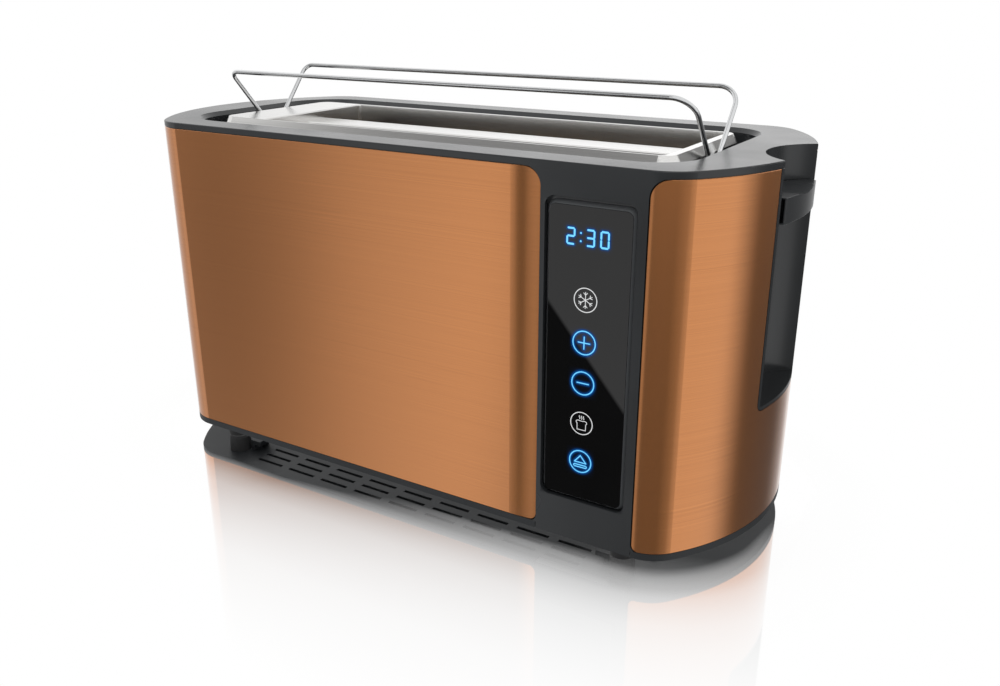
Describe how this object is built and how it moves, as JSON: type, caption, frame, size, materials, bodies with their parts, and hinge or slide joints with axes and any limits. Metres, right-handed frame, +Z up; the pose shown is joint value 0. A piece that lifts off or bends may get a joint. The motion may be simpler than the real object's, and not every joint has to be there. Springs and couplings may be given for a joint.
{
  "type": "pop up toaster",
  "caption": "Long pop-up toaster with a brushed copper-coloured body, dark cover, touch panel, side lever, folding warming rack and slide-out crumb tray.",
  "frame": {"origin": "on the floor under the middle of the plan", "axes": "+X along the front towards the lever end, +Y to the back, +Z up"},
  "size_m": [0.3948, 0.17, 0.2323],
  "materials": {
    "copper_steel": "horizontally brushed, clear coated",
    "cover_plastic": "satin moulding",
    "lever_plastic": "satin moulding",
    "base_plastic": "fine grain moulding",
    "foot_rubber": "matt",
    "bright_plate": "polished steel",
    "panel_glass": "black backed glass",
    "sheet_steel": "plain sheet",
    "carriage_steel": "plain sheet",
    "guard_wire": "drawn wire",
    "rod_steel": "ground",
    "mica": "pressed mica sheet",
    "heating_ribbon": "oxidised ribbon",
    "magnet_iron": "laminated",
    "winding": "wound wire",
    "circuit_board": "coated board",
    "board_parts": "moulded"
  },
  "bodies": {
    "housing": {"left_wrap": "copper_steel", "right_wrap": "copper_steel", "top_cover": "cover_plastic", "lever_channel": "cover_plastic", "base_plate": "base_plastic", "feet": "foot_rubber", "cord_gland": "foot_rubber", "slot_plate": "bright_plate", "touch_panel": "panel_glass", "left_chassis": "sheet_steel", "right_chassis": "sheet_steel", "front_heat_shield": "sheet_steel", "rear_heat_shield": "sheet_steel", "rod_bracket": "sheet_steel", "left_bail_bracket": "sheet_steel", "right_bail_bracket": "sheet_steel", "guide_rod": "rod_steel", "lift_spring": "rod_steel", "base_screws": "rod_steel", "front_outer_heater": "mica", "front_inner_heater": "mica", "rear_inner_heater": "mica", "rear_outer_heater": "mica", "heater_ribbons": "heating_ribbon", "magnet_core": "magnet_iron", "magnet_coil": "winding", "control_board": "circuit_board", "power_board": "circuit_board", "display_module": "board_parts", "power_components": "board_parts", "touch_pads": "board_parts"},
    "carriage": {"carriage": "carriage_steel", "lever_arm": "carriage_steel", "lever_handle": "lever_plastic", "front_bread_rack": "carriage_steel", "rear_bread_rack": "carriage_steel", "armature": "magnet_iron"},
    "front_outer_guard": {"front_outer_guard": "guard_wire"},
    "front_inner_guard": {"front_inner_guard": "guard_wire"},
    "rear_inner_guard": {"rear_inner_guard": "guard_wire"},
    "rear_outer_guard": {"rear_outer_guard": "guard_wire"},
    "front_bail": {"front_bail": "bright_plate"},
    "rear_bail": {"rear_bail": "bright_plate"},
    "crumb_tray": {"crumb_tray": "sheet_steel", "tray_handle": "base_plastic"}
  },
  "joints": [
    {"name": "carriage_slide", "type": "slide", "parent": "housing", "child": "carriage", "axis": [0, 0, -1], "range_m": [0, 0.085], "stiffness_N_per_m": 60, "springref_m": -0.05, "deforming": ["lift_spring"]},
    {"name": "front_outer_guard_hinge", "type": "hinge", "parent": "housing", "child": "front_outer_guard", "pos_m": [0.0109, -0.0443, 0.034], "axis": [-1, 0, 0], "range_deg": [0, 3.2]},
    {"name": "front_inner_guard_hinge", "type": "hinge", "parent": "housing", "child": "front_inner_guard", "pos_m": [0.0109, -0.0137, 0.034], "axis": [1, 0, 0], "range_deg": [0, 3.2]},
    {"name": "rear_inner_guard_hinge", "type": "hinge", "parent": "housing", "child": "rear_inner_guard", "pos_m": [0.0109, 0.0137, 0.034], "axis": [-1, 0, 0], "range_deg": [0, 3.2]},
    {"name": "rear_outer_guard_hinge", "type": "hinge", "parent": "housing", "child": "rear_outer_guard", "pos_m": [0.0109, 0.0443, 0.034], "axis": [1, 0, 0], "range_deg": [0, 3.2]},
    {"name": "front_bail_hinge", "type": "hinge", "parent": "housing", "child": "front_bail", "pos_m": [0, -0.0022, 0.193], "axis": [1, 0, 0], "range_deg": [0, 47.5]},
    {"name": "rear_bail_hinge", "type": "hinge", "parent": "housing", "child": "rear_bail", "pos_m": [0, 0.0022, 0.193], "axis": [-1, 0, 0], "range_deg": [0, 47.5]},
    {"name": "tray_slide", "type": "slide", "parent": "housing", "child": "crumb_tray", "axis": [0, 1, 0], "range_m": [0, 0.13]}
  ],
  "couplings": [
    {"joint": "front_outer_guard_hinge", "follows": "carriage_slide", "rad_per_m": 0.616},
    {"joint": "front_inner_guard_hinge", "follows": "carriage_slide", "rad_per_m": 0.616},
    {"joint": "rear_inner_guard_hinge", "follows": "carriage_slide", "rad_per_m": 0.616},
    {"joint": "rear_outer_guard_hinge", "follows": "carriage_slide", "rad_per_m": 0.616}
  ]
}
